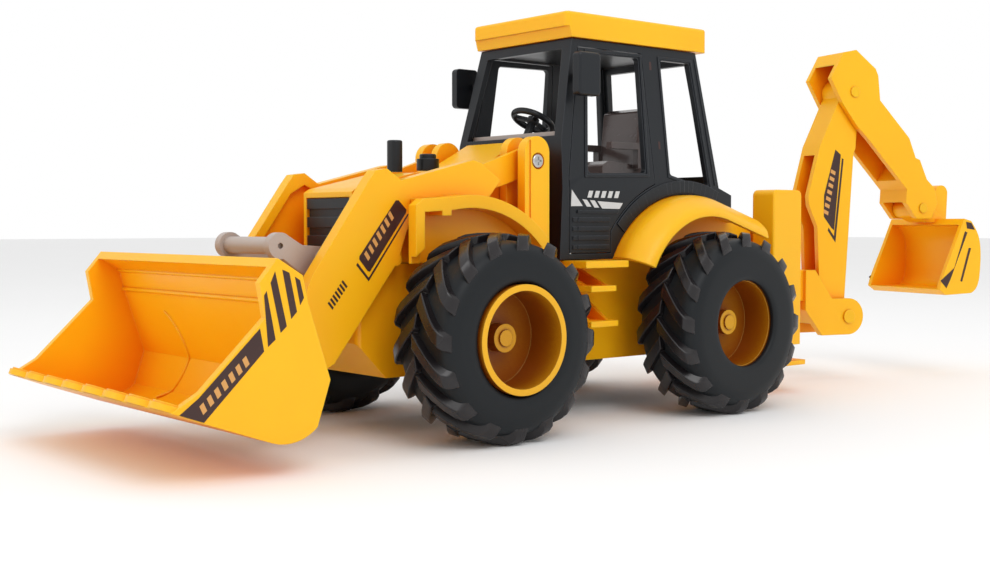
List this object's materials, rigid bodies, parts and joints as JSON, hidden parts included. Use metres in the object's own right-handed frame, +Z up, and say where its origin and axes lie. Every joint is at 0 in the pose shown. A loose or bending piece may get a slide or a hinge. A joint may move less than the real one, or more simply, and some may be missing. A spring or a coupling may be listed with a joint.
{
  "type": "toy backhoe loader",
  "caption": "Yellow friction-drive toy backhoe loader with a lifting and tilting front bucket, opening cab doors and a slewing rear digging arm.",
  "frame": {"origin": "on the ground under the middle of the overall length and width", "axes": "+Z up; -Y is the front, where the loader bucket is; +Y is the rear, where the digging arm is; +X is the machine's own left side"},
  "size_m": [0.1232, 0.4142, 0.1454],
  "materials": {
    "yellow_plastic": "semi-gloss injection-moulded chrome-yellow plastic",
    "yellow_rim": "satin moulded yellow plastic",
    "tyre_rubber": "soft black rubber, satin sidewall, shiny tread",
    "black_plastic": "satin charcoal-black moulded plastic",
    "grey_plastic": "warm grey moulded plastic",
    "smoke_plastic": "smoky brown-grey moulded plastic",
    "bright_steel": "plain bright steel",
    "gear_nylon": "natural nylon",
    "flywheel_metal": "pressed steel disc"
  },
  "bodies": {
    "vehicle": {"chassis_tub": "yellow_plastic", "chassis_cover": "black_plastic", "chassis_screws": "bright_steel", "motor_case": "yellow_plastic", "front_body": "yellow_plastic", "grille": "black_plastic", "exhaust_stack": "black_plastic", "air_precleaner": "black_plastic", "front_fender_left": "yellow_plastic", "front_fender_right": "yellow_plastic", "rear_fender_left": "yellow_plastic", "rear_fender_right": "yellow_plastic", "side_step_left": "yellow_plastic", "side_step_right": "yellow_plastic", "loader_tower_left": "yellow_plastic", "loader_tower_right": "yellow_plastic", "pivot_screws": "bright_steel", "rear_body": "yellow_plastic", "stabiliser_left": "yellow_plastic", "stabiliser_right": "yellow_plastic", "rear_frame": "yellow_plastic", "kingpost": "bright_steel", "cab_frame": "black_plastic", "cab_roof": "yellow_plastic", "cab_interior": "grey_plastic", "seat": "smoke_plastic", "steering_wheel": "black_plastic", "door_pins": "bright_steel"},
    "front_wheels": {"front_axle": "bright_steel", "front_tyre_left": "tyre_rubber", "front_tyre_right": "tyre_rubber", "front_rim_left": "yellow_rim", "front_rim_right": "yellow_rim"},
    "rear_wheels": {"rear_axle": "bright_steel", "rear_tyre_left": "tyre_rubber", "rear_tyre_right": "tyre_rubber", "rear_rim_left": "yellow_rim", "rear_rim_right": "yellow_rim", "axle_gear": "gear_nylon"},
    "middle_gear": {"middle_gear": "gear_nylon"},
    "flywheel": {"flywheel": "flywheel_metal", "flywheel_pinion": "gear_nylon"},
    "loader_arms": {"loader_arm_left": "yellow_plastic", "loader_arm_right": "yellow_plastic", "loader_cross_tube": "yellow_plastic", "bucket_pivot_rod": "bright_steel", "lever_pivot_rod": "bright_steel"},
    "loader_bucket": {"loader_bucket": "yellow_plastic"},
    "tilt_lever": {"tilt_lever": "grey_plastic"},
    "door_left": {"door_left": "black_plastic", "wing_mirror_left": "black_plastic"},
    "door_right": {"door_right": "black_plastic", "wing_mirror_right": "black_plastic"},
    "swing_casting": {"swing_casting": "yellow_plastic", "boom_foot_pin": "bright_steel"},
    "boom": {"boom": "yellow_plastic"},
    "dipper": {"dipper": "yellow_plastic", "dipper_pin": "bright_steel", "bucket_pin": "bright_steel"},
    "backhoe_bucket": {"backhoe_bucket": "yellow_plastic"}
  },
  "joints": [
    {"name": "front_wheels_spin", "type": "hinge", "parent": "vehicle", "child": "front_wheels", "pos_m": [0, -0.08907, 0.033], "axis": [1, 0, 0], "continuous": true},
    {"name": "rear_wheels_spin", "type": "hinge", "parent": "vehicle", "child": "rear_wheels", "pos_m": [0, 0.01753, 0.033], "axis": [1, 0, 0], "continuous": true},
    {"name": "middle_gear_spin", "type": "hinge", "parent": "vehicle", "child": "middle_gear", "pos_m": [0, 0.00575, 0.0398], "axis": [1, 0, 0], "continuous": true},
    {"name": "flywheel_spin", "type": "hinge", "parent": "vehicle", "child": "flywheel", "pos_m": [0, -0.00785, 0.0398], "axis": [1, 0, 0], "continuous": true},
    {"name": "loader_lift", "type": "hinge", "parent": "vehicle", "child": "loader_arms", "pos_m": [0, -0.05667, 0.09], "axis": [-1, 0, 0], "range_deg": [-4, 42]},
    {"name": "bucket_tilt", "type": "hinge", "parent": "loader_arms", "child": "loader_bucket", "pos_m": [0, -0.14907, 0.027], "axis": [1, 0, 0], "range_deg": [-18, 35]},
    {"name": "lever_tilt", "type": "hinge", "parent": "loader_arms", "child": "tilt_lever", "pos_m": [0, -0.13307, 0.0575], "axis": [1, 0, 0], "range_deg": [-16, 29]},
    {"name": "door_left_open", "type": "hinge", "parent": "vehicle", "child": "door_left", "pos_m": [0.0289, -0.03997, 0.07], "axis": [0, 0, -1], "range_deg": [0, 62]},
    {"name": "door_right_open", "type": "hinge", "parent": "vehicle", "child": "door_right", "pos_m": [-0.0289, -0.03997, 0.07], "axis": [0, 0, 1], "range_deg": [0, 62]},
    {"name": "backhoe_slew", "type": "hinge", "parent": "vehicle", "child": "swing_casting", "pos_m": [0, 0.10793, 0.042], "axis": [0, 0, 1], "range_deg": [-24, 56]},
    {"name": "boom_lift", "type": "hinge", "parent": "swing_casting", "child": "boom", "pos_m": [0.00943, 0.14081, 0.028], "axis": [0.9613, -0.2756, 0], "range_deg": [-35, 10]},
    {"name": "dipper_swing", "type": "hinge", "parent": "boom", "child": "dipper", "pos_m": [0.0102, 0.1435, 0.127], "axis": [0.9613, -0.2756, 0], "range_deg": [-10, 40]},
    {"name": "digger_curl", "type": "hinge", "parent": "dipper", "child": "backhoe_bucket", "pos_m": [0.02095, 0.18099, 0.076], "axis": [0.9613, -0.2756, 0], "range_deg": [-35, 4]}
  ],
  "couplings": [
    {"joint": "middle_gear_spin", "follows": "rear_wheels_spin", "ratio": -2.4},
    {"joint": "flywheel_spin", "follows": "rear_wheels_spin", "ratio": 5.76},
    {"joint": "lever_tilt", "follows": "bucket_tilt", "ratio": 0.8}
  ]
}
